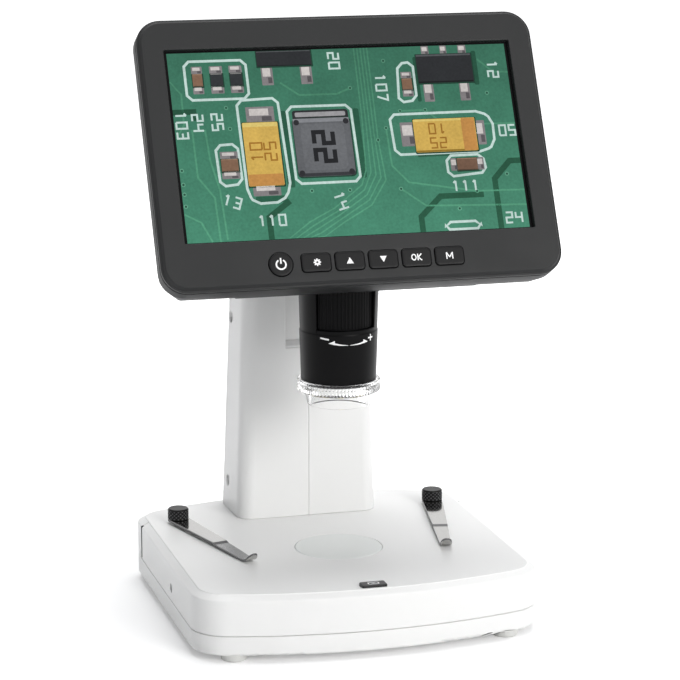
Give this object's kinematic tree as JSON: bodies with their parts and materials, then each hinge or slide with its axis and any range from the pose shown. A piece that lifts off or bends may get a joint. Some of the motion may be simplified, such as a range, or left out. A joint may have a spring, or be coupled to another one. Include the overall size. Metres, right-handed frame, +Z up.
{
  "type": "lcd digital microscope",
  "caption": "Desk microscope: white bowed base with spring clips, tapered column, black camera barrel with clear cap, and a wide tilting LCD with a row of buttons in front of it.",
  "frame": {"origin": "on the table, under the middle of the base", "axes": "+Z up, -Y towards the user, +X to the user's right"},
  "size_m": [0.18, 0.1656, 0.272],
  "materials": {
    "white_gloss": "gloss",
    "black_matt": "satin",
    "grey_matt": "matte",
    "key_black": "satin",
    "rubber_black": "matte",
    "clear_plastic": "clear",
    "frosted_plastic": "frosted",
    "steel_bright": "polished",
    "steel_screw": "zinc plated",
    "steel_rod": "ground",
    "steel_ballast": "plain",
    "brass": "plain",
    "alloy_black": "anodised",
    "alloy": "satin",
    "board_green": "solder mask",
    "lens_glass": "coated",
    "picture_glass": "display",
    "led_yellow": "phosphor",
    "battery_silver": "foil"
  },
  "bodies": {
    "stand": {"base_upper_shell": "white_gloss", "base_lower_tray": "white_gloss", "rubber_feet": "rubber_black", "base_screws": "steel_screw", "ballast_plate": "steel_ballast", "stage_window": "frosted_plastic", "stage_led_board": "board_green", "base_board": "board_green", "power_socket": "black_matt", "clip_inserts": "brass", "column_left_shell": "white_gloss", "column_right_shell": "white_gloss", "column_side_screws": "steel_screw", "column_foot_screws": "steel_screw", "guide_brackets": "black_matt", "guide_rods": "steel_rod", "shaft_bushes": "brass"},
    "head": {"carriage": "alloy", "carriage_bushes": "brass", "slot_plate": "white_gloss", "focus_rack": "brass", "head_arm": "black_matt", "head_cover": "black_matt", "head_screws": "steel_screw", "sensor_board": "board_green", "barrel_housing": "black_matt", "led_ring_board": "board_green", "ring_leds": "led_yellow"},
    "coarse_focus": {"focus_shaft": "steel_rod", "focus_pinion": "brass", "coarse_knob_left": "black_matt", "coarse_knob_right": "black_matt"},
    "fine_focus": {"focus_ring": "alloy_black"},
    "objective": {"lens_tube": "black_matt", "objective_lenses": "lens_glass", "lens_retainer": "alloy_black"},
    "lens_cap": {"clear_cap": "clear_plastic"},
    "screen": {"lcd_front_bezel": "grey_matt", "lcd_rear_shell": "grey_matt", "lcd_panel": "picture_glass", "lcd_main_board": "board_green", "lcd_sockets": "steel_screw", "lcd_battery": "battery_silver", "key_board": "board_green", "lcd_screws": "steel_screw", "hinge_bracket": "alloy_black", "hinge_pin": "steel_rod", "hinge_washers": "steel_rod"},
    "light_switch": {"light_switch_key": "key_black"},
    "left_clip": {"clip_leaf_left": "steel_bright"},
    "right_clip": {"clip_leaf_right": "steel_bright"},
    "left_clip_screw": {"clip_knob_left": "black_matt"},
    "right_clip_screw": {"clip_knob_right": "black_matt"},
    "power_key": {"key_power": "key_black"},
    "settings_key": {"key_settings": "key_black"},
    "up_key": {"key_up": "key_black"},
    "down_key": {"key_down": "key_black"},
    "ok_key": {"key_ok": "key_black"},
    "menu_key": {"key_menu": "key_black"}
  },
  "joints": [
    {"name": "head_lift", "type": "slide", "parent": "stand", "child": "head", "axis": [0, 0, 1], "range_m": [-0.03, 0.022]},
    {"name": "coarse_focus_turn", "type": "hinge", "parent": "stand", "child": "coarse_focus", "pos_m": [0, 0.0606, 0.152], "axis": [-1, 0, 0], "range_deg": [-359.1, 263.61]},
    {"name": "fine_focus_turn", "type": "hinge", "parent": "head", "child": "fine_focus", "pos_m": [0, -0.014, 0.142], "axis": [0, 0, 1], "range_deg": [-151, 151]},
    {"name": "lens_travel", "type": "slide", "parent": "head", "child": "objective", "axis": [0, 0, 1], "range_m": [-0.002, 0.002]},
    {"name": "cap_pull", "type": "slide", "parent": "head", "child": "lens_cap", "axis": [0, 0, -1], "range_m": [0, 0.014]},
    {"name": "screen_tilt", "type": "hinge", "parent": "head", "child": "screen", "pos_m": [0, -0.00602, 0.20303], "axis": [-1, 0, 0], "range_deg": [-5, 30]},
    {"name": "light_switch_press", "type": "slide", "parent": "stand", "child": "light_switch", "axis": [0, 0, -1], "range_m": [0, 0.0008], "stiffness_N_per_m": 400},
    {"name": "left_clip_swivel", "type": "hinge", "parent": "stand", "child": "left_clip", "pos_m": [-0.0627, 0.0428, 0.032], "axis": [0, 0, 1], "range_deg": [-25, 30]},
    {"name": "right_clip_swivel", "type": "hinge", "parent": "stand", "child": "right_clip", "pos_m": [0.0627, 0.0428, 0.032], "axis": [0, 0, 1], "range_deg": [-30, 25]},
    {"name": "left_clip_screw_turn", "type": "hinge", "parent": "stand", "child": "left_clip_screw", "pos_m": [-0.0627, 0.0428, 0.032], "axis": [0, 0, 1], "range_deg": [0, 360]},
    {"name": "right_clip_screw_turn", "type": "hinge", "parent": "stand", "child": "right_clip_screw", "pos_m": [0.0627, 0.0428, 0.032], "axis": [0, 0, 1], "range_deg": [0, 360]},
    {"name": "power_key_press", "type": "slide", "parent": "screen", "child": "power_key", "axis": [0, 0.8926, -0.4509], "range_m": [0, 0.0005], "stiffness_N_per_m": 300},
    {"name": "settings_key_press", "type": "slide", "parent": "screen", "child": "settings_key", "axis": [0, 0.8926, -0.4509], "range_m": [0, 0.0005], "stiffness_N_per_m": 300},
    {"name": "up_key_press", "type": "slide", "parent": "screen", "child": "up_key", "axis": [0, 0.8926, -0.4509], "range_m": [0, 0.0005], "stiffness_N_per_m": 300},
    {"name": "down_key_press", "type": "slide", "parent": "screen", "child": "down_key", "axis": [0, 0.8926, -0.4509], "range_m": [0, 0.0005], "stiffness_N_per_m": 300},
    {"name": "ok_key_press", "type": "slide", "parent": "screen", "child": "ok_key", "axis": [0, 0.8926, -0.4509], "range_m": [0, 0.0005], "stiffness_N_per_m": 300},
    {"name": "menu_key_press", "type": "slide", "parent": "screen", "child": "menu_key", "axis": [0, 0.8926, -0.4509], "range_m": [0, 0.0005], "stiffness_N_per_m": 300}
  ],
  "couplings": [
    {"joint": "coarse_focus_turn", "follows": "head_lift", "rad_per_m": 208.33},
    {"joint": "fine_focus_turn", "follows": "lens_travel", "rad_per_m": 1309}
  ]
}
